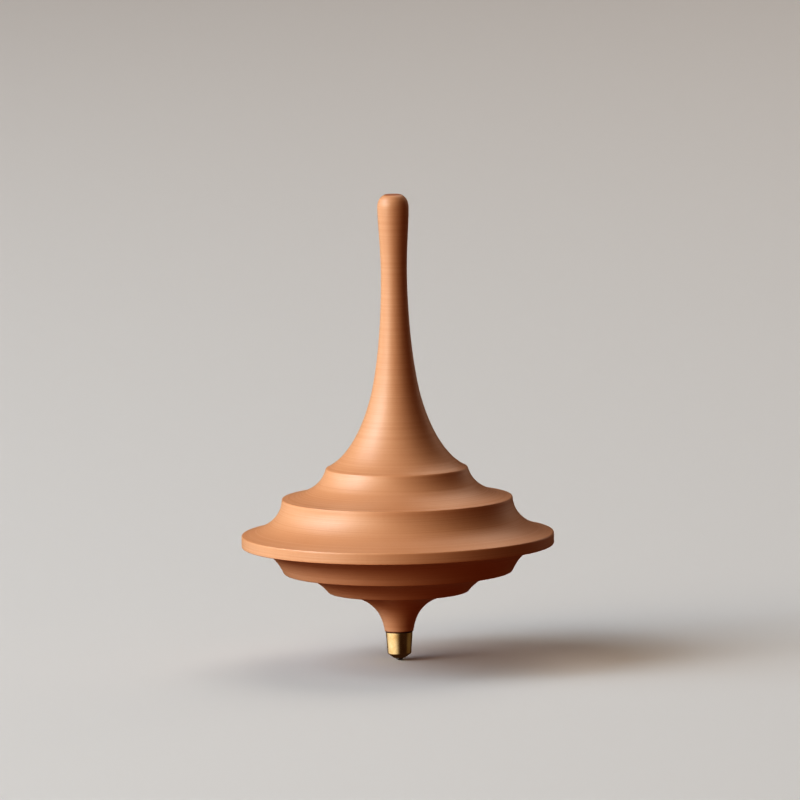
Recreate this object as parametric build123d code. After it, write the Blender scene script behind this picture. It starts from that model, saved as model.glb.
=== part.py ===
from build123d import *
from collections import namedtuple
import math
import os

# A lathe-turned wooden finger top with a brass tip, in millimetres.
# +Z is the spin axis. The origin is the point where the tip ball touches the table.

Ring = namedtuple("Ring", "radius height")

# Driving dimensions of the wooden body: its edges, from the stem's end down to the nose
STEM_END = Ring(1.3, 74.9)
KNOB_HIGH = Ring(2.5, 72.9)
KNOB_LOW = Ring(2.5, 71.8)
WAIST = Ring(2.08, 62.4)
FLARE_MIDDLE = Ring(3.68, 44.0)
SHOULDER = Ring(11.35, 31.05)
UPPER_STEP = Ring(18.45, 26.25)
RIM_HIGH = Ring(25.0, 20.45)
RIM_LOW = Ring(25.0, 18.6)
LOWER_STEP = Ring(18.3, 14.3)
COLLAR = Ring(11.2, 11.1)
NOSE_END = Ring(2.28, 4.7)
EDGE_ROUNDING = 0.15
SOFTENED_EDGES = (SHOULDER, UPPER_STEP, RIM_HIGH, RIM_LOW, LOWER_STEP, COLLAR)
FLARE_LEAN = 11.6
FLARE_REACH_UP = 7.3
FLARE_REACH_DOWN = 4.2

# Handles of the curves between those edges, as steps from the nearer edge: outward, then up
STEM_ROUNDING = ((0.45, -0.15), (0.0, 1.3))
KNOB_SWELL = ((0.0, 2.7), (-0.17, -2.9))
WAIST_HANDLE = (0.0, -2.8)
SHOULDER_HANDLE = (-4.4, 1.9)
UPPER_COVE = ((0.55, -2.1), (-5.0, 0.75))
RIM_COVE = ((0.15, -4.1), (-2.2, 0.45))
RIM_UNDERCUT = ((1.35, 2.8), (-4.1, -0.4))
LOWER_UNDERCUT = ((2.0, 2.5), (-2.8, -0.2))
NOSE_SWEEP = ((0.42, 2.4), (-7.7, -0.5))

# Hole for the tip
BORE_RADIUS = 1.27
BORE_DEPTH = 9.0
DRILL_POINT_ANGLE = 118.0

# Brass tip
SHANK_RADIUS = 1.25
SHANK_LENGTH = 8.0
SHANK_CHAMFER = 0.3
GROOVE_COUNT = 3
GROOVE_PITCH = 1.8
GROOVE_WIDTH = 0.5
GROOVE_DEPTH = 0.15
HEAD_TOP_RADIUS = 2.15
HEAD_TOP_CHAMFER = 0.12
HEAD_LOW = Ring(1.9, 1.12)
HEAD_LOW_ROUNDING = 0.15
LIP = Ring(0.97, 0.42)

# Tip ball
BALL_RADIUS = 0.75
SOCKET_CLEARANCE = 0.01


def stepped(ring, step):
    """Return the point a step away from a ring's edge."""
    return (ring.radius + step[0], ring.height + step[1])


def cove(start, end, handles):
    """Draw the curve from one edge to the next, down the outline."""
    Bezier(start, stepped(start, handles[0]), stepped(end, handles[1]), end)


def leaned(ring, reach):
    """Return a point up or down the flare's middle tangent, which leans off the axis."""
    lean = math.radians(FLARE_LEAN)
    return stepped(ring, (-reach * math.sin(lean), reach * math.cos(lean)))


def draw_stem():
    """Draw the stem from the axis at its end to the shoulder's edge."""
    Line((0, STEM_END.height), STEM_END)
    cove(STEM_END, KNOB_HIGH, STEM_ROUNDING)
    Line(KNOB_HIGH, KNOB_LOW)
    Bezier(KNOB_LOW, stepped(KNOB_LOW, KNOB_SWELL[1]), stepped(WAIST, KNOB_SWELL[0]), WAIST)
    Bezier(WAIST, stepped(WAIST, WAIST_HANDLE), leaned(FLARE_MIDDLE, FLARE_REACH_UP), FLARE_MIDDLE)
    Bezier(
        FLARE_MIDDLE,
        leaned(FLARE_MIDDLE, -FLARE_REACH_DOWN),
        stepped(SHOULDER, SHOULDER_HANDLE),
        SHOULDER,
    )


def draw_disc():
    """Draw the stepped disc from the shoulder's edge down to the nose's end."""
    cove(SHOULDER, UPPER_STEP, UPPER_COVE)
    cove(UPPER_STEP, RIM_HIGH, RIM_COVE)
    Line(RIM_HIGH, RIM_LOW)
    Bezier(RIM_LOW, stepped(RIM_LOW, RIM_UNDERCUT[1]), stepped(LOWER_STEP, RIM_UNDERCUT[0]), LOWER_STEP)
    Bezier(LOWER_STEP, stepped(LOWER_STEP, LOWER_UNDERCUT[1]), stepped(COLLAR, LOWER_UNDERCUT[0]), COLLAR)
    Bezier(COLLAR, stepped(COLLAR, NOSE_SWEEP[1]), stepped(NOSE_END, NOSE_SWEEP[0]), NOSE_END)


def draw_bore():
    """Draw the drilled hole from the nose's end up to its point on the axis."""
    wall_top = NOSE_END.height + BORE_DEPTH
    point = wall_top + BORE_RADIUS / math.tan(math.radians(DRILL_POINT_ANGLE / 2))
    Polyline(NOSE_END, (BORE_RADIUS, NOSE_END.height), (BORE_RADIUS, wall_top), (0, point))
    Line((0, point), (0, STEM_END.height))


def edges_at(body, rings):
    """Return the circular edges of a turned body that lie at the given rings."""
    circles = body.edges().filter_by(GeomType.CIRCLE)
    return [
        circle
        for circle in circles
        for ring in rings
        if abs(circle.radius - ring.radius) < 0.01 and abs(circle.center().Z - ring.height) < 0.01
    ]


def turned_body():
    """Make the wooden body: stem, flare, stepped disc and nose in one turning."""
    with BuildPart() as body:
        with BuildSketch(Plane.XZ):
            with BuildLine():
                draw_stem()
                draw_disc()
                draw_bore()
            make_face()
        revolve(axis=Axis.Z)
        fillet(edges_at(body.part, SOFTENED_EDGES), EDGE_ROUNDING)
    return body.part


def shank_outline():
    """Return the points up the grooved shank, from the head's shoulder to the axis."""
    points = [(SHANK_RADIUS, NOSE_END.height)]
    for number in range(GROOVE_COUNT):
        low = NOSE_END.height + GROOVE_PITCH * (number + 1) - GROOVE_WIDTH / 2
        high = low + GROOVE_WIDTH
        floor = SHANK_RADIUS - GROOVE_DEPTH
        points += [(SHANK_RADIUS, low), (floor, low), (floor, high), (SHANK_RADIUS, high)]
    end = NOSE_END.height + SHANK_LENGTH
    points += [(SHANK_RADIUS, end - SHANK_CHAMFER), (SHANK_RADIUS - SHANK_CHAMFER, end), (0, end)]
    return points


def brass_tip():
    """Make the brass tip: tapered head, grooved shank and ball socket."""
    head_top = (HEAD_TOP_RADIUS, NOSE_END.height - HEAD_TOP_CHAMFER)
    shoulder = (HEAD_TOP_RADIUS - HEAD_TOP_CHAMFER, NOSE_END.height)
    with BuildPart() as tip:
        with BuildSketch(Plane.XZ):
            with BuildLine():
                Polyline((0, LIP.height), LIP, HEAD_LOW, head_top, shoulder, *shank_outline())
                Line((0, NOSE_END.height + SHANK_LENGTH), (0, LIP.height))
            make_face()
        revolve(axis=Axis.Z)
        fillet(edges_at(tip.part, [HEAD_LOW]), HEAD_LOW_ROUNDING)
        with Locations((0, 0, BALL_RADIUS)):
            Sphere(BALL_RADIUS + SOCKET_CLEARANCE, mode=Mode.SUBTRACT)
    return tip.part


def tip_ball():
    """Make the ball, which stands on the origin."""
    return Pos(0, 0, BALL_RADIUS) * Sphere(BALL_RADIUS)


PIECES = {"turned_body": turned_body, "brass_tip": brass_tip, "tip_ball": tip_ball}

os.makedirs("parts", exist_ok=True)
for name, make in PIECES.items():
    export_step(make(), f"parts/{name}.step")
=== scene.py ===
"""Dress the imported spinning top: a waxed fruitwood turning on a brass tip with a small steel ball."""

from __future__ import annotations

import logging
import math
from abc import ABC, abstractmethod
from dataclasses import dataclass, field
from enum import Enum
from typing import Any, NamedTuple

import bmesh
import bpy
from mathutils import Matrix, Vector, noise
from mathutils.geometry import interpolate_bezier

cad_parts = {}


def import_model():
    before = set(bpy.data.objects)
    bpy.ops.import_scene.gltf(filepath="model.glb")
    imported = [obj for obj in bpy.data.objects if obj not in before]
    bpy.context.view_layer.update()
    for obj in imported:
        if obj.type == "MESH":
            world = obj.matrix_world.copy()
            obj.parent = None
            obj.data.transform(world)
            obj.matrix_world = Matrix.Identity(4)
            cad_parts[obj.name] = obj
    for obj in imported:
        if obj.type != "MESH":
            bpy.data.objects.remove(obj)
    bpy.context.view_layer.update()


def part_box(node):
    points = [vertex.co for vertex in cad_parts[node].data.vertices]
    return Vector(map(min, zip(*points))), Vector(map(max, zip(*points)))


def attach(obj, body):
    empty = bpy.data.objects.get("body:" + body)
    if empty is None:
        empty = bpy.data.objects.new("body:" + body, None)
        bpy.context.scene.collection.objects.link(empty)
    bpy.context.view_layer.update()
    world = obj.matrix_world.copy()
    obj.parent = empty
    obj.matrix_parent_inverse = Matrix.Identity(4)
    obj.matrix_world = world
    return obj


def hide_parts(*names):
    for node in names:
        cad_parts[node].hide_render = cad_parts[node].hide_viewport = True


LOG = logging.getLogger("spinning_top")

MM = 0.001
BODY = "root"
MERGE_DISTANCE = 0.002 * MM

# How finely a curve is sampled: to measure it, to trim it, and before its points are spaced evenly.
LENGTH_STEPS = 64
TRIM_STEPS = 400
FINE_STEPS = 8

# How far a rounded edge's handles reach towards its corner, and a quarter circle's along its radius.
CORNER_PULL = 0.6
QUARTER_CIRCLE = 0.5523

Setting = Any
Colour = tuple[float, float, float]
Span = tuple[float, float]


class Point(NamedTuple):
    """A point of a turned outline: its distance from the spin axis and its height, in millimetres."""

    radius: float
    height: float

    def stepped(self, outward: float, up: float) -> Point:
        """Return the point a step away."""
        return Point(self.radius + outward, self.height + up)

    def towards(self, other: Point, share: float) -> Point:
        """Return the point that lies a share of the way to another."""
        return Point(
            self.radius + (other.radius - self.radius) * share,
            self.height + (other.height - self.height) * share,
        )

    def vector(self) -> Vector:
        """Return the point as a vector in the XZ plane."""
        return Vector((self.radius, 0.0, self.height))


class Grain(Enum):
    """What a stretch of outline is for, which sets how its surface is finished."""

    SHOWN = 1.0
    # The stem's end face, which the wood darkens with painted shade.
    SHADED_END = 0.5
    HIDDEN = 0.0


@dataclass(frozen=True)
class Stretch:
    """One smooth cut of the tool: a Bezier curve from one edge of the outline to the next.

    Args:
        start: Where the cut starts.
        leave: Its first handle, as a point.
        arrive: Its second handle, as a point.
        end: Where the cut ends.
        softness: How far the edge at its end is rounded back, in millimetres.
        grain: Whether the stretch shows from outside.
    """

    start: Point
    leave: Point
    arrive: Point
    end: Point
    softness: float = 0.0
    grain: Grain = Grain.SHOWN

    def length(self) -> float:
        """Return the length of the curve in millimetres."""
        points = self.points(LENGTH_STEPS)
        return sum((b - a).length for a, b in zip(points, points[1:]))

    def points(self, count: int) -> list[Vector]:
        """Return evenly spaced points along the curve, its ends among them.

        Args:
            count: How many spaces lie between the points.

        Returns:
            The points, in the XZ plane.
        """
        corners = [point.vector() for point in (self.start, self.leave, self.arrive, self.end)]
        return evenly(interpolate_bezier(*corners, count * FINE_STEPS + 1), count)


class Pull(NamedTuple):
    """A curve's two handles, as steps outward and up from its ends, in millimetres."""

    leave: Span
    arrive: Span

    def curve(self, start: Point, end: Point, softness: float = 0.0, grain: Grain = Grain.SHOWN) -> Stretch:
        """Return the curve between two points.

        Args:
            start: Where it starts.
            end: Where it ends.
            softness: How far the edge at its end is rounded back.
            grain: Whether it shows from outside.

        Returns:
            The stretch.
        """
        return Stretch(start, start.stepped(*self.leave), end.stepped(*self.arrive), end, softness, grain)


def evenly(fine: list[Vector], count: int) -> list[Vector]:
    """Space points evenly along a fine polyline.

    Args:
        fine: The polyline.
        count: How many spaces lie between the new points.

    Returns:
        The count + 1 points.
    """
    reach = [0.0]
    for a, b in zip(fine, fine[1:]):
        reach.append(reach[-1] + (b - a).length)
    spaced, index = [], 0
    for number in range(count + 1):
        target = reach[-1] * number / count
        while index < len(fine) - 2 and reach[index + 1] < target:
            index += 1
        span = reach[index + 1] - reach[index]
        share = (target - reach[index]) / span if span else 0.0
        spaced.append(fine[index].lerp(fine[index + 1], share))
    return spaced


def straight(start: Point, end: Point, softness: float = 0.0, grain: Grain = Grain.SHOWN) -> Stretch:
    """Make a straight cut.

    Args:
        start: Where it starts.
        end: Where it ends.
        softness: How far the edge at its end is rounded back.
        grain: Whether it shows from outside.

    Returns:
        The stretch.
    """
    third = 1 / 3
    return Stretch(start, start.towards(end, third), end.towards(start, third), end, softness, grain)


class Sample(NamedTuple):
    """A point of a sampled outline with what the finish needs to know about it."""

    place: Vector
    reach: float
    wear_and_highlight: float
    shown: float
    across: float


@dataclass
class Outline:
    """The outline of a turned piece, from a point on the axis round to another.

    Args:
        stretches: The cuts, each starting where the last one ended.
        spacing: The distance between points, in millimetres.
        ripple: The height of the tool's rings, in millimetres.
        ripple_length: The usual distance between the tool's rings, in millimetres.
        wear_and_highlight_reach: How far from an edge its wear, and on the wood its painted highlight, shows, in
            millimetres.
        seed: Where the rings' noise starts.
        corner_steps: How many points lie on a rounded edge.
    """

    stretches: list[Stretch]
    spacing: float = 0.3
    ripple: float = 0.0
    ripple_length: float = 0.8
    wear_and_highlight_reach: float = 0.8
    seed: float = 0.0
    corner_steps: int = 4

    def samples(self) -> list[Sample]:
        """Walk the outline: trim each curve at its soft edges, round them and lay on the tool's rings.

        Returns:
            The samples from the first point on the axis to the last.
        """
        runs = [self._trimmed(number) for number in range(len(self.stretches))]
        places, edges, shown = [runs[0][0]], [], [self.stretches[0].grain.value]
        for number, run in enumerate(runs):
            places += run[1:]
            shown += [self.stretches[number].grain.value] * (len(run) - 1)
            corner = self.stretches[number].end.vector()
            if self.stretches[number].softness and number + 1 < len(runs):
                onward = runs[number + 1][0]
                handles = [side.lerp(corner, CORNER_PULL) for side in (run[-1], onward)]
                arc = interpolate_bezier(run[-1], *handles, onward, self.corner_steps + 2)
                edges.append(len(places) + self.corner_steps // 2)
                places += arc[1:]
                shown += [self.stretches[number].grain.value] * (len(arc) - 1)
        return self._dressed(places, edges, shown)

    def _trimmed(self, number: int) -> list[Vector]:
        """Sample one stretch, stopping short of the soft edges at its ends.

        Args:
            number: Which stretch.

        Returns:
            Its points.
        """
        stretch = self.stretches[number]
        before = self.stretches[number - 1].softness if number else 0.0
        fine = stretch.points(TRIM_STEPS)
        total = stretch.length()
        first = round(TRIM_STEPS * before / total)
        last = TRIM_STEPS - round(TRIM_STEPS * stretch.softness / total)
        count = max(1, round(total * (last - first) / TRIM_STEPS / self.spacing))
        return evenly(fine[first : last + 1], count)

    def _dressed(self, places: list[Vector], edges: list[int], shown: list[float]) -> list[Sample]:
        """Add reach, the edge mask for wear and painted highlight, and the tool's rings to the points.

        Args:
            places: The points of the outline.
            edges: The indices of the points at the edges.
            shown: Whether each point shows from outside.

        Returns:
            The samples.
        """
        reach = [0.0]
        for a, b in zip(places, places[1:]):
            reach.append(reach[-1] + (b - a).length)
        samples = []
        for index, place in enumerate(places):
            near = min((abs(reach[index] - reach[edge]) for edge in edges), default=math.inf)
            wear_and_highlight = max(0.0, 1.0 - near / self.wear_and_highlight_reach)
            before, after = places[max(index - 1, 0)], places[min(index + 1, len(places) - 1)]
            along = (after - before).normalized()
            outward = Vector((along.z, 0.0, -along.x))
            rings = noise.noise(Vector((reach[index] / self.ripple_length, self.seed, 0.5)))
            rippled = shown[index] == Grain.SHOWN.value and place.x > self.spacing and not wear_and_highlight
            lift = self.ripple * rings if rippled else 0.0
            across = outward.z**2
            samples.append(Sample(place + outward * lift, reach[index], wear_and_highlight, shown[index], across))
        return samples


@dataclass
class TurnedPiece(ABC):
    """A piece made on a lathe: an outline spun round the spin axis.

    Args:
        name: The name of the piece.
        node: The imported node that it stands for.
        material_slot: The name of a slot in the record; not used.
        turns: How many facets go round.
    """

    name: str
    node: str
    material_slot: str
    turns: int = 192

    @abstractmethod
    def outline(self) -> Outline:
        """Return the piece's outline."""

    @abstractmethod
    def finish(self) -> Finish:
        """Return the piece's finish."""

    def build(self) -> bpy.types.Object:
        """Turn the piece, dress it and tie it to the frame.

        Returns:
            The finished object.
        """
        mesh = self._turned_mesh()
        piece = bpy.data.objects.new(self.name, mesh)
        bpy.context.scene.collection.objects.link(piece)
        mesh.materials.append(self.finish().material())
        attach(piece, BODY)
        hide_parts(self.node)
        LOG.info("%s: %d faces", self.name, len(mesh.polygons))
        return piece

    def _turned_mesh(self) -> bpy.types.Mesh:
        """Spin the outline into a closed, smooth mesh with its finish's attributes.

        Returns:
            The mesh, in metres.
        """
        shape = bmesh.new()
        layers = [shape.verts.layers.float.new(key) for key in ("reach", "wear_and_highlight", "shown", "across")]
        chain = []
        for sample in self.outline().samples():
            vertex = shape.verts.new(sample.place * MM)
            for layer, value in zip(layers, sample[1:]):
                vertex[layer] = value
            chain.append(vertex)
        edges = [shape.edges.new(pair) for pair in zip(chain, chain[1:])]
        bmesh.ops.spin(
            shape,
            geom=chain + edges,
            cent=(0.0, 0.0, 0.0),
            axis=(0.0, 0.0, 1.0),
            angle=math.tau,
            steps=self.turns,
            use_merge=True,
        )
        bmesh.ops.remove_doubles(shape, verts=shape.verts, dist=MERGE_DISTANCE)
        bmesh.ops.recalc_face_normals(shape, faces=shape.faces)
        for face in shape.faces:
            face.smooth = True
        mesh = bpy.data.meshes.new(self.name)
        shape.to_mesh(mesh)
        shape.free()
        return mesh


@dataclass
class WoodenBody(TurnedPiece):
    """The one-piece wooden body: finger stem, flare, stepped disc and nose, with the hole for the tip.

    A plain number is a radius, a height or a length in millimetres, and a lean or a point angle is in degrees.
    """

    name: str = "wooden_body"
    node: str = "turned_body"
    material_slot: str = "waxed_fruitwood"
    turns: int = 180
    end_face: float = 1.3
    end_rounding: Pull = Pull((0.45, -0.15), (0.0, 1.3))
    knob: float = 2.5
    knob_high: float = 72.9
    knob_low: float = 71.8
    knob_taper: Pull = Pull((-0.17, -2.9), (0.0, 2.7))
    waist: Point = Point(2.08, 62.4)
    waist_reach: float = 2.8
    flare_middle: Point = Point(3.68, 44.0)
    flare_lean: float = 11.6
    flare_reach_up: float = 7.3
    flare_reach_down: float = 4.2
    flare_foot: Span = (-4.4, 1.9)
    shoulder: Point = Point(11.35, 31.05)
    upper_cove: Pull = Pull((0.55, -2.1), (-5.0, 0.75))
    upper_step: Point = Point(18.45, 26.25)
    middle_cove: Pull = Pull((0.15, -4.1), (-2.2, 0.45))
    rim_high: float = 20.45
    rim_low: float = 18.6
    rim_underside: Pull = Pull((-4.1, -0.4), (1.35, 2.8))
    lower_step: Point = Point(18.3, 14.3)
    lower_cove: Pull = Pull((-2.8, -0.2), (2.0, 2.5))
    collar: Point = Point(11.2, 11.1)
    nose_sweep: Pull = Pull((-7.7, -0.5), (0.42, 2.4))
    nose_end: float = 2.28
    nose_softness: float = 0.06
    bore: float = 1.27
    bore_depth: float = 9.0
    drill_point_angle: float = 118.0
    edge_softness: float = 0.16
    ripple: float = 0.006
    high: float = field(init=False)
    low: float = field(init=False)
    rim: float = field(init=False)

    def __post_init__(self) -> None:
        """Read the body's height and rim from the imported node, with room in the rim for the tool's rings."""
        lowest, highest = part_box(self.node)
        self.high = highest[2] / MM
        self.low = lowest[2] / MM
        self.rim = min(-lowest[0], highest[0], -lowest[1], highest[1]) / MM - self.ripple

    def outline(self) -> Outline:
        """Return the outline from the stem's end down to the nose and up the hole."""
        return Outline(
            [*self._stem(), *self._disc(), *self._nose(), *self._hole()],
            spacing=0.27,
            ripple=self.ripple,
            ripple_length=0.9,
        )

    def finish(self) -> Finish:
        """Return the waxed wood."""
        return WaxedFruitwood()

    def _leaned(self, reach: float) -> Point:
        """Return a point up or down the flare's middle tangent."""
        lean = math.radians(self.flare_lean)
        return self.flare_middle.stepped(-reach * math.sin(lean), reach * math.cos(lean))

    def _stem(self) -> list[Stretch]:
        """Return the cuts from the stem's end to the shoulder's edge."""
        end = Point(self.end_face, self.high)
        knob_high, knob_low = Point(self.knob, self.knob_high), Point(self.knob, self.knob_low)
        waist, middle, shoulder = self.waist, self.flare_middle, self.shoulder
        above, below = self._leaned(self.flare_reach_up), self._leaned(-self.flare_reach_down)
        return [
            straight(Point(0.0, self.high), end, 0.0, Grain.SHADED_END),
            self.end_rounding.curve(end, knob_high),
            straight(knob_high, knob_low),
            self.knob_taper.curve(knob_low, waist),
            Stretch(waist, waist.stepped(0.0, -self.waist_reach), above, middle),
            Stretch(middle, below, shoulder.stepped(*self.flare_foot), shoulder, self.edge_softness),
        ]

    def _disc(self) -> list[Stretch]:
        """Return the coves and the rim, from the shoulder's edge to the collar's."""
        soft = self.edge_softness
        rim_high, rim_low = Point(self.rim, self.rim_high), Point(self.rim, self.rim_low)
        return [
            self.upper_cove.curve(self.shoulder, self.upper_step, soft),
            self.middle_cove.curve(self.upper_step, rim_high, soft),
            straight(rim_high, rim_low, soft),
            self.rim_underside.curve(rim_low, self.lower_step, soft),
            self.lower_cove.curve(self.lower_step, self.collar, soft),
        ]

    def _nose(self) -> list[Stretch]:
        """Return the sweep from the collar's edge to the nose's end face, and that face."""
        end = Point(self.nose_end, self.low)
        sweep = self.nose_sweep.curve(self.collar, end, self.nose_softness)
        return [sweep, straight(end, Point(self.bore, self.low), 0.0, Grain.HIDDEN)]

    def _hole(self) -> list[Stretch]:
        """Return the drilled hole from its mouth to its point."""
        top = self.low + self.bore_depth
        point = top + self.bore / math.tan(math.radians(self.drill_point_angle / 2))
        return [
            straight(Point(self.bore, self.low), Point(self.bore, top), 0.0, Grain.HIDDEN),
            straight(Point(self.bore, top), Point(0.0, point), 0.0, Grain.HIDDEN),
        ]


@dataclass
class BrassTip(TurnedPiece):
    """The brass tip: a tapered head, a grooved shank and the socket of its ball.

    A plain number is a radius, a height or a length in millimetres.
    """

    name: str = "turned_tip"
    node: str = "brass_tip"
    material_slot: str = "turned_brass"
    turns: int = 128
    shank: float = 1.25
    shank_chamfer: float = 0.3
    head_top: float = 2.15
    head_chamfer: float = 0.12
    head_low: Point = Point(1.9, 1.12)
    head_low_softness: float = 0.15
    lip: float = 0.97
    edge_softness: float = 0.04
    shoulder: float = 4.7
    shoulder_softness: float = 0.02
    groove_count: int = 3
    groove_pitch: float = 1.8
    groove_width: float = 0.5
    groove_depth: float = 0.15
    ball: float = 0.75
    clearance: float = 0.01
    mouth_bend: float = 0.36
    mouth_lean: float = 0.05
    low: float = field(init=False)
    top: float = field(init=False)

    def __post_init__(self) -> None:
        """Read the tip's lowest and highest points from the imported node."""
        self.low, self.top = (corner[2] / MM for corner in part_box(self.node))

    def outline(self) -> Outline:
        """Return the outline from the socket's roof, round the head and up the shank."""
        return Outline(
            [*self._socket(), *self._head(), *self._shank()],
            spacing=0.1,
            ripple=0.002,
            ripple_length=0.25,
            wear_and_highlight_reach=0.25,
            seed=3.0,
        )

    def finish(self) -> Finish:
        """Return the turned brass."""
        return TurnedBrass()

    def _mouth(self) -> Point:
        """Return the edge of the socket's mouth."""
        return Point(math.sqrt((self.ball + self.clearance) ** 2 - (self.ball - self.low) ** 2), self.low)

    def _socket(self) -> list[Stretch]:
        """Return the round socket, as two arcs from its roof to its mouth."""
        radius = self.ball + self.clearance
        bulge = QUARTER_CIRCLE * radius
        roof, wall, mouth = Point(0.0, self.ball + radius), Point(radius, self.ball), self._mouth()
        bend = (self.ball - self.low) * self.mouth_bend
        upper, lower = Pull((bulge, 0.0), (0.0, bulge)), Pull((0.0, -bend), (self.mouth_lean, bend))
        return [
            upper.curve(roof, wall, 0.0, Grain.HIDDEN),
            lower.curve(wall, mouth, 0.0, Grain.HIDDEN),
        ]

    def _head(self) -> list[Stretch]:
        """Return the lip, the cone, the tapered side and the chamfer under the wood."""
        lip = Point(self.lip, self.low)
        high = Point(self.head_top, self.shoulder - self.head_chamfer)
        top = Point(self.head_top - self.head_chamfer, self.shoulder)
        return [
            straight(self._mouth(), lip, self.edge_softness),
            straight(lip, self.head_low, self.head_low_softness),
            straight(self.head_low, high, self.edge_softness),
            straight(high, top, self.shoulder_softness),
            straight(top, Point(self.shank, self.shoulder), 0.0, Grain.HIDDEN),
        ]

    def _shank(self) -> list[Stretch]:
        """Return the shank with its glue grooves, up to the axis."""
        corners = [Point(self.shank, self.shoulder)]
        floor = self.shank - self.groove_depth
        for number in range(self.groove_count):
            low = self.shoulder + self.groove_pitch * (number + 1) - self.groove_width / 2
            high = low + self.groove_width
            corners += [Point(self.shank, low), Point(floor, low), Point(floor, high), Point(self.shank, high)]
        end = self.shank - self.shank_chamfer
        corners += [Point(self.shank, self.top - self.shank_chamfer), Point(end, self.top), Point(0.0, self.top)]
        return [straight(a, b, 0.0, Grain.HIDDEN) for a, b in zip(corners, corners[1:])]


@dataclass
class TipBall(TurnedPiece):
    """The hard ball that the top stands and turns on, worn to a tiny flat where it touches the table."""

    name: str = "steel_ball"
    node: str = "tip_ball"
    material_slot: str = "ball_steel"
    turns: int = 96
    wear_flat: float = 0.06
    foot_pull: float = 0.93

    def outline(self) -> Outline:
        """Return half a circle, from the ball's top to the flat at its foot."""
        low, high = (corner[2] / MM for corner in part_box(self.node))
        radius = (high - low) / 2
        bulge = QUARTER_CIRCLE * radius
        top, side = Point(0.0, high), Point(radius, low + radius)
        flat = Point(self.wear_flat, low)
        return Outline(
            [
                Pull((bulge, 0.0), (0.0, bulge)).curve(top, side),
                Pull((0.0, -bulge), (bulge * self.foot_pull, 0.0)).curve(side, flat),
                straight(flat, Point(0.0, low)),
            ],
            spacing=0.05,
        )

    def finish(self) -> Finish:
        """Return the ball's steel."""
        return BallSteel()


class Wire:
    """One output of a shader node, which can be used in sums like a number."""

    def __init__(self, bench: Bench, socket: bpy.types.NodeSocket) -> None:
        """Keep the socket and the bench that it is on."""
        self.bench = bench
        self.socket = socket

    def _math(self, operation: str, *values: Wire | float) -> Wire:
        """Add a Math node on values."""
        inputs = dict(enumerate(values))
        return self.bench.node("ShaderNodeMath", {"operation": operation}, inputs)

    def __add__(self, other: Wire | float) -> Wire:
        """Return the sum."""
        return self._math("ADD", self, other)

    __radd__ = __add__

    def __sub__(self, other: Wire | float) -> Wire:
        """Return the difference."""
        return self._math("SUBTRACT", self, other)

    def __rsub__(self, other: Wire | float) -> Wire:
        """Return the difference from a number."""
        return self._math("SUBTRACT", other, self)

    def __mul__(self, other: Wire | float) -> Wire:
        """Return the product."""
        return self._math("MULTIPLY", self, other)

    __rmul__ = __mul__

    def clamped(self) -> Wire:
        """Return the value kept between 0 and 1."""
        return self.bench.node("ShaderNodeClamp", {}, {"Value": self})

    def ramped(self, low: float, high: float) -> Wire:
        """Return a smooth step from 0 at low to 1 at high.

        Args:
            low: The value that gives 0.
            high: The value that gives 1.

        Returns:
            The stepped value.
        """
        return self.bench.node(
            "ShaderNodeMapRange",
            {"interpolation_type": "SMOOTHSTEP"},
            {"Value": self, "From Min": low, "From Max": high},
        )


class Cut(NamedTuple):
    """The rings that a cut of the tool leaves: how many to a millimetre, their finer octaves and a seed."""

    per_mm: float
    detail: float
    seed: float


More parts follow.
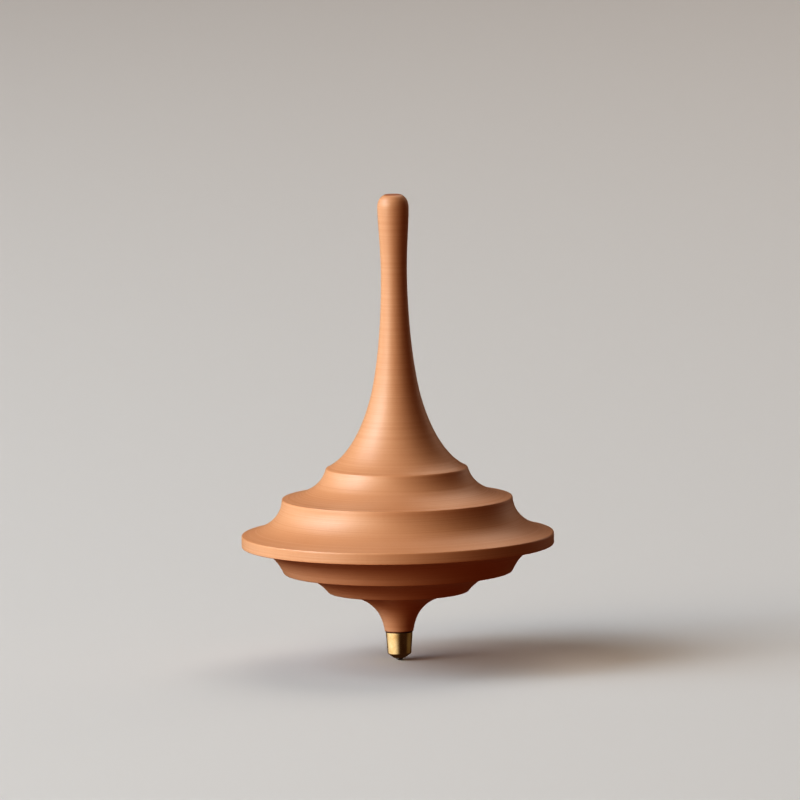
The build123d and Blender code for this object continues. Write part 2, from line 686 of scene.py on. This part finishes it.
class Bench:
    """The node tree of a material or of the studio's air while it is being built."""

    def __init__(self, owner: bpy.types.Material | bpy.types.World) -> None:
        """Clear the owner's node tree.

        Args:
            owner: The material or world.
        """
        owner.use_nodes = True
        self.owner = owner
        self.tree = owner.node_tree
        self.tree.nodes.clear()

    def node(
        self,
        kind: str,
        settings: dict[str, Setting] | None = None,
        inputs: dict[str | int, Setting] | None = None,
        output: str | int = 0,
    ) -> Wire:
        """Add a node.

        Args:
            kind: The node's type.
            settings: Its own settings, which are set first.
            inputs: A value or a wire for each socket, by name or number.
            output: Which of its outputs to return.

        Returns:
            The output as a wire.
        """
        made = self.tree.nodes.new(kind)
        for key, value in (settings or {}).items():
            setattr(made, key, value)
        for key, value in (inputs or {}).items():
            if isinstance(value, Wire):
                self.tree.links.new(value.socket, made.inputs[key])
            else:
                made.inputs[key].default_value = self._fitted(made.inputs[key], value)
        return Wire(self, made.outputs[output])

    @staticmethod
    def _fitted(socket: bpy.types.NodeSocket, value: Setting) -> Setting:
        """Return a colour with its alpha where the socket wants one."""
        wants_alpha = socket.type == "RGBA" and len(value) == 3
        return (*value, 1.0) if wants_alpha else value

    def attribute(self, name: str) -> Wire:
        """Return a number stored on the piece's vertices."""
        return self.node("ShaderNodeAttribute", {"attribute_name": name}, {}, "Fac")

    def place(self, scale: Colour = (1.0, 1.0, 1.0)) -> Wire:
        """Return Object coordinates, stretched.

        Args:
            scale: How many pattern units a metre holds along each axis.

        Returns:
            The coordinates.
        """
        there = self.node("ShaderNodeTexCoord", {}, {}, "Object")
        return self.node("ShaderNodeMapping", {}, {"Vector": there, "Scale": scale})

    def height(self) -> Wire:
        """Return the height above the table in millimetres."""
        return self.node("ShaderNodeSeparateXYZ", {}, {"Vector": self.place()}, "Z") * 1000.0

    def speckle(self, scale: Colour, detail: float) -> Wire:
        """Return soft noise through the piece.

        Args:
            scale: How many blobs a metre holds along each axis.
            detail: How many finer octaves it has.

        Returns:
            Values from about 0.2 to 0.8, 0.5 on average.
        """
        inputs = {"Vector": self.place(scale), "Scale": 1.0, "Detail": detail}
        return self.node("ShaderNodeTexNoise", {}, inputs)

    def rings(self, cut: Cut) -> Wire:
        """Return noise that only changes along the outline, so it runs round the piece as rings.

        Args:
            cut: The tool's cut that leaves them.

        Returns:
            Values from about 0.2 to 0.8.
        """
        inputs = {"W": self.attribute("reach") * cut.per_mm + cut.seed, "Scale": 1.0, "Detail": cut.detail}
        return self.node("ShaderNodeTexNoise", {"noise_dimensions": "1D"}, inputs)

    def mixed(self, share: Wire | float, first: Wire | Colour, second: Wire | Colour, blend: str = "MIX") -> Wire:
        """Mix two colours.

        Args:
            share: How much of the second colour to take.
            first: The first colour.
            second: The second colour.
            blend: The way that they are mixed.

        Returns:
            The mixed colour.
        """
        settings = {"data_type": "RGBA", "blend_type": blend}
        return self.node("ShaderNodeMix", settings, {0: share, 6: first, 7: second}, 2)

    def bumped(self, height: Wire, depth: float) -> Wire:
        """Return a normal that follows a height.

        Args:
            height: The height, about 0 to 1.
            depth: What a height of 1 stands for, in millimetres.

        Returns:
            The normal.
        """
        return self.node("ShaderNodeBump", {}, {"Height": height, "Distance": depth * MM, "Strength": 1.0})

    def closed(
        self,
        inputs: dict[str, Setting],
        shader: str = "ShaderNodeBsdfPrincipled",
        end: str = "ShaderNodeOutputMaterial",
    ) -> Any:
        """Finish the tree with a shader and an output.

        Args:
            inputs: A value or a wire for each of the shader's sockets.
            shader: The shader's type.
            end: The output's type.

        Returns:
            The material or world that the tree belongs to.
        """
        surface = self.tree.nodes.new(end).inputs["Surface"]
        self.tree.links.new(self.node(shader, {}, inputs).socket, surface)
        return self.owner


class Finish(ABC):
    """A surface finish."""

    @abstractmethod
    def material(self) -> bpy.types.Material:
        """Build the finish's material."""


@dataclass(frozen=True)
class WaxedFruitwood(Finish):
    """Close-grained fruitwood, turned, sanded and waxed: fine rings from the tool and silky fibres up the stem.

    Args:
        pale: The colour of the early wood.
        deep: The colour of the late wood.
        end_grain: What the colour is multiplied by where the fibres are cut across.
        end_face_shade: What it is multiplied by on the stem's sawn end face, as painted shade on top of its end
            grain's darkening.
        joint_shade: What it is multiplied by as painted shade in the joint with the brass, where the gap's shadow
            falls.
        joint: The heights between which that painted shade fades out, in millimetres.
        ring_shade: What it is multiplied by in the dark rings.
        ring_strength: How much of that shade shows.
        rubbed_and_highlit: What it is multiplied by on the edges, lighter partly from wear and partly as a
            painted highlight.
        rubbed_and_highlit_strength: How much of that shows.
        roughness: The wax's roughness.
        gloss: The wax's specular level.
        ring_depth: The height of the rings that the bump shows, in millimetres.
        coarse: The widest rings.
        middle: The rings between.
        fine: The narrowest rings.
        streaks: Where the shade of the rings sets in.
        fibre_scale: How many fibres a metre holds along each axis.
        cloud_scale: How many cloudy patches a metre holds along each axis.
    """

    pale: Colour = (0.68, 0.397, 0.232)
    deep: Colour = (0.585, 0.307, 0.160)
    end_grain: Colour = (0.86, 0.74, 0.66)
    end_face_shade: Colour = (0.74, 0.50, 0.36)
    joint_shade: Colour = (0.42, 0.32, 0.27)
    joint: Span = (4.74, 4.92)
    ring_shade: Colour = (0.9, 0.80, 0.72)
    ring_strength: float = 0.28
    rubbed_and_highlit: Colour = (1.12, 1.1, 1.08)
    rubbed_and_highlit_strength: float = 0.35
    roughness: float = 0.42
    gloss: float = 0.54
    ring_depth: float = 0.036
    coarse: Cut = Cut(0.55, 1.0, 7.0)
    middle: Cut = Cut(1.7, 1.0, 3.0)
    fine: Cut = Cut(4.6, 1.5, 11.0)
    streaks: Span = (0.38, 0.62)
    fibre_scale: Colour = (2600.0, 2600.0, 70.0)
    cloud_scale: Colour = (55.0, 55.0, 25.0)

    def material(self) -> bpy.types.Material:
        """Build the wood.

        Returns:
            The material.
        """
        bench = Bench(bpy.data.materials.new("waxed_fruitwood"))
        wear_and_highlight, shown = bench.attribute("wear_and_highlight"), bench.attribute("shown")
        coarse, middle, fine = bench.rings(self.coarse), bench.rings(self.middle), bench.rings(self.fine)
        fibres = bench.speckle(self.fibre_scale, 3.0)
        cloud = bench.speckle(self.cloud_scale, 2.0)
        tone = bench.mixed((cloud * 0.6 + fibres * 0.25 + middle * 0.25 - 0.05).clamped(), self.pale, self.deep)
        streak = (middle * 0.4 + fine * 0.6).ramped(*self.streaks)
        tone = bench.mixed(self.ring_strength * streak, tone, self.ring_shade, "MULTIPLY")
        tone = bench.mixed(bench.attribute("across"), tone, self.end_grain, "MULTIPLY")
        # Painted shade on the stem's up-facing end face.
        tone = bench.mixed(1.0 - shown.ramped(0.6, 0.9), tone, self.end_face_shade, "MULTIPLY")
        # Lighter edges: partly rubbed wear, partly a painted highlight along them.
        tone = bench.mixed(self.rubbed_and_highlit_strength * wear_and_highlight, tone, self.rubbed_and_highlit, "MULTIPLY")
        # Painted shade: the wood darkens just above its joint with the brass, standing in for the gap's shadow.
        tone = bench.mixed(1.0 - bench.height().ramped(*self.joint), tone, self.joint_shade, "MULTIPLY")
        rough = self.roughness + 0.10 * (middle - 0.5) + 0.12 * (fine - 0.5) - 0.06 * wear_and_highlight
        normal = bench.bumped(coarse * 0.35 + middle * 0.27 + fine * 0.38, self.ring_depth)
        return bench.closed(
            {"Base Color": tone, "Roughness": rough, "Normal": normal, "Specular IOR Level": self.gloss}
        )


@dataclass(frozen=True)
class TurnedBrass(Finish):
    """Brass, turned and lightly polished, with fine rings round the head and painted shade in its joint with the
    wood.

    Args:
        bright: The colour of the polished metal.
        dull: Its colour where it has tarnished.
        joint_shade: What the colour is multiplied by as painted shade in the joint with the wood.
        joint: The heights between which that painted shade sets in, in millimetres.
        roughness: The metal's roughness.
        joint_shade_roughness: How much rougher the band of painted shade is.
        ring_depth: The height of the rings that the bump shows, in millimetres.
        middle: The wide rings.
        fine: The narrow rings.
        stain_scale: How many stains a metre holds along each axis.
        stained: Where the tarnish sets in.
    """

    bright: Colour = (0.81, 0.61, 0.34)
    dull: Colour = (0.64, 0.42, 0.19)
    joint_shade: Colour = (0.13, 0.10, 0.10)
    joint: Span = (4.46, 4.60)
    roughness: float = 0.20
    joint_shade_roughness: float = 0.35
    ring_depth: float = 0.004
    middle: Cut = Cut(4.0, 1.0, 3.0)
    fine: Cut = Cut(14.0, 1.0, 11.0)
    stain_scale: Colour = (700.0, 700.0, 500.0)
    stained: Span = (0.35, 0.75)

    def material(self) -> bpy.types.Material:
        """Build the brass.

        Returns:
            The material.
        """
        bench = Bench(bpy.data.materials.new("turned_brass"))
        middle, fine = bench.rings(self.middle), bench.rings(self.fine)
        stain = bench.speckle(self.stain_scale, 3.0)
        # Painted shade: the brass darkens towards its joint with the wood, standing in for the gap's shadow.
        joint_shaded = bench.height().ramped(*self.joint)
        tone = bench.mixed(stain.ramped(*self.stained), self.bright, self.dull)
        tone = bench.mixed(0.5 * bench.attribute("wear_and_highlight"), tone, self.bright)
        tone = bench.mixed(joint_shaded, tone, self.joint_shade, "MULTIPLY")
        rough = self.roughness + 0.10 * (fine - 0.5) + 0.10 * (stain - 0.5) + self.joint_shade_roughness * joint_shaded
        normal = bench.bumped(middle * 0.5 + fine * 0.5, self.ring_depth)
        return bench.closed({"Base Color": tone, "Metallic": 1.0, "Roughness": rough, "Normal": normal})


@dataclass(frozen=True)
class BallSteel(Finish):
    """Hardened steel, polished and a little scuffed.

    Args:
        tone: The colour of the polished metal.
        scuffed: Its colour in the scuffs.
        scuff_scale: How many scuffs a metre holds along each axis.
    """

    tone: Colour = (0.36, 0.35, 0.34)
    scuffed: Colour = (0.22, 0.21, 0.20)
    scuff_scale: Colour = (4000.0, 4000.0, 4000.0)

    def material(self) -> bpy.types.Material:
        """Build the steel.

        Returns:
            The material.
        """
        bench = Bench(bpy.data.materials.new("ball_steel"))
        scuff = bench.speckle(self.scuff_scale, 3.0)
        tone = bench.mixed(scuff.ramped(0.4, 0.7), self.tone, self.scuffed)
        return bench.closed({"Base Color": tone, "Metallic": 1.0, "Roughness": 0.18 + 0.2 * scuff})


@dataclass(frozen=True)
class PaleFloor(Finish):
    """A plain pale matt floor."""

    tone: Colour = (0.62, 0.60, 0.58)
    roughness: float = 0.9

    def material(self) -> bpy.types.Material:
        """Build the floor's material.

        Returns:
            The material.
        """
        bench = Bench(bpy.data.materials.new("pale_floor"))
        return bench.closed({"Base Color": self.tone, "Roughness": self.roughness})


@dataclass(frozen=True)
class SoftLight:
    """A square soft light that hangs round the top.

    Args:
        name: Its name.
        azimuth: Its direction from the top in degrees: 0 is towards the camera, 90 to the right.
        elevation: Its height above the horizon in degrees.
        size: Its side in metres.
        power: Its power in watts.
        colour: Its colour.
        distance: How far it is, in metres.
    """

    name: str
    azimuth: float
    elevation: float
    size: float
    power: float
    colour: Colour
    distance: float = 2.0

    def build(self, aim: Vector) -> None:
        """Hang the light and aim it.

        Args:
            aim: The point that it faces.
        """
        lamp = bpy.data.lights.new(self.name, "AREA")
        lamp.shape = "SQUARE"
        lamp.size = self.size
        lamp.energy = self.power
        lamp.color = self.colour
        a, e = math.radians(self.azimuth), math.radians(self.elevation)
        away = Vector((math.sin(a) * math.cos(e), -math.cos(a) * math.cos(e), math.sin(e)))
        light = bpy.data.objects.new(self.name, lamp)
        turn = away.to_track_quat("Z", "Y").to_matrix().to_4x4()
        light.matrix_world = Matrix.Translation(aim + away * self.distance) @ turn
        bpy.context.scene.collection.objects.link(light)


@dataclass
class Studio:
    """The floor, the lights and the camera round the top.

    Args:
        floor_radius: The floor's radius in metres.
        camera_elevation: The camera's height above the horizon in degrees.
        camera_distance: How far it is from the point that it faces, in metres.
        lens: Its focal length in millimetres.
        sensor: Its sensor's width in millimetres.
        far_clip: How far it sees, in metres.
        roll: How far it is turned about its axis, in degrees.
        aim_height: The height of the point that it faces, in metres.
        aim_side: How far that point lies to the right, in metres.
        air_above: The colour of the air above the table's height.
        air_below: The colour of the light from the table.
        table_dark: The colour of the table where shiny parts mirror it.
        table_glow: The colour of the window's glow on the table.
        glow_azimuth: The direction of that glow in degrees.
        glow_edges: Where it sets in and where it is full, as cosines of the angle from its middle.
        glow_on_wood: How much of it counts for surfaces that mirror nothing.
        table_sheen: The colour of the dim sheen on the table's other side.
        sheen_azimuth: The direction of that sheen in degrees.
        sheen_edges: Where it sets in and where it is full, as cosines.
        horizon: The heights between which the table's light gives way to the air's.
        lights: The soft lights.
    """

    floor_radius: float = 6.0
    camera_elevation: float = 6.8
    camera_distance: float = 2.13
    lens: float = 600.0
    sensor: float = 36.0
    far_clip: float = 50.0
    roll: float = 0.84
    aim_height: float = 0.0419
    aim_side: float = 0.00068
    air_above: Colour = (0.051, 0.029, 0.019)
    air_below: Colour = (0.142, 0.036, 0.007)
    table_dark: Colour = (0.050, 0.030, 0.020)
    table_glow: Colour = (1.00, 0.99, 0.96)
    glow_azimuth: float = -75.0
    glow_edges: Span = (0.10, 0.98)
    glow_on_wood: float = 0.07
    table_sheen: Colour = (0.13, 0.10, 0.06)
    sheen_azimuth: float = 102.0
    sheen_edges: Span = (0.80, 0.94)
    horizon: Span = (-0.2, 0.2)
    lights: tuple[SoftLight, ...] = (
        SoftLight("window_low", -55.0, 12.0, 1.1, 15.2, (0.96, 0.87, 0.76)),
        SoftLight("window_middle", -72.0, 29.0, 1.1, 20.5, (0.74, 0.88, 1.0)),
        SoftLight("window_high", -94.0, 46.0, 1.1, 10.3, (0.74, 0.88, 1.0)),
        SoftLight("window_far", -104.0, 20.0, 1.0, 5.5, (0.62, 0.83, 1.0)),
        SoftLight("front_left", -36.0, 29.0, 1.1, 8.0, (1.0, 0.86, 0.70)),
        SoftLight("top", -80.0, 80.0, 1.3, 2.0, (1.0, 0.90, 0.78)),
        SoftLight("back", 166.0, 50.0, 1.4, 9.0, (1.0, 0.90, 0.80)),
        SoftLight("side", 137.0, 12.0, 1.2, 2.2, (1.0, 0.85, 0.70)),
    )

    def build(self) -> None:
        """Set the whole studio up."""
        self._floor()
        self._air()
        for light in self.lights:
            light.build(Vector((0.0, 0.0, self.aim_height)))
        self._camera()
        bpy.context.scene.view_settings.view_transform = "Standard"
        bpy.context.scene.view_settings.look = "High Contrast"

    def _floor(self) -> None:
        """Lay the floor."""
        shape = bmesh.new()
        bmesh.ops.create_circle(shape, cap_ends=True, segments=96, radius=self.floor_radius)
        mesh = bpy.data.meshes.new("floor")
        shape.to_mesh(mesh)
        shape.free()
        mesh.materials.append(PaleFloor().material())
        floor = bpy.data.objects.new("floor", mesh)
        floor.visible_diffuse = False
        floor.visible_glossy = False
        floor.visible_shadow = False
        bpy.context.scene.collection.objects.link(floor)

    def _air(self) -> None:
        """Fill the room with dim light, and let shiny parts mirror a dark table with a window's glow on it."""
        bench = Bench(bpy.data.worlds.new("studio_air"))
        towards = bench.node("ShaderNodeTexCoord", {}, {}, "Generated")
        up = bench.node("ShaderNodeSeparateXYZ", {}, {"Vector": towards}, "Z").ramped(*self.horizon)
        mirrored = bench.node("ShaderNodeLightPath", {}, {}, "Is Glossy Ray")
        below = bench.mixed(mirrored, self.air_below, self.table_dark)
        glow = self._lobe(bench, towards, self.glow_azimuth).ramped(*self.glow_edges)
        glow = glow * (mirrored * (1.0 - self.glow_on_wood) + self.glow_on_wood)
        below = bench.mixed(glow, below, self.table_glow)
        sheen = self._lobe(bench, towards, self.sheen_azimuth).ramped(*self.sheen_edges)
        below = bench.mixed(sheen * mirrored, below, self.table_sheen)
        air = bench.mixed(up, below, self.air_above)
        bpy.context.scene.world = bench.closed({"Color": air}, "ShaderNodeBackground", "ShaderNodeOutputWorld")

    @staticmethod
    def _lobe(bench: Bench, towards: Wire, azimuth: float) -> Wire:
        """Return how nearly a direction faces an azimuth, 1 at its closest.

        Args:
            bench: The air's bench.
            towards: The direction.
            azimuth: The azimuth in degrees.

        Returns:
            The cosine of the angle between them.
        """
        a = math.radians(azimuth)
        facing = {0: towards, 1: (math.sin(a), -math.cos(a), 0.0)}
        return bench.node("ShaderNodeVectorMath", {"operation": "DOT_PRODUCT"}, facing, "Value")

    def _camera(self) -> None:
        """Place the long-lens camera, rolled so that the top leans a little."""
        lens = bpy.data.cameras.new("camera")
        lens.lens = self.lens
        lens.sensor_width = self.sensor
        lens.clip_end = self.far_clip
        camera = bpy.data.objects.new("camera", lens)
        e = math.radians(self.camera_elevation)
        back = Vector((0.0, -math.cos(e), math.sin(e)))
        turn = back.to_track_quat("Z", "Y").to_matrix().to_4x4()
        roll = Matrix.Rotation(math.radians(-self.roll), 4, "Z")
        aim = Vector((self.aim_side, 0.0, self.aim_height))
        camera.matrix_world = Matrix.Translation(aim + back * self.camera_distance) @ turn @ roll
        bpy.context.scene.collection.objects.link(camera)
        bpy.context.scene.camera = camera


def main() -> None:
    """Load the frame, build each piece on it and set up the studio."""
    logging.basicConfig(level=logging.INFO, format="%(name)s: %(message)s")
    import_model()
    for piece in (WoodenBody(), BrassTip(), TipBall()):
        piece.build()
    Studio().build()


if __name__ == "__main__":
    main()
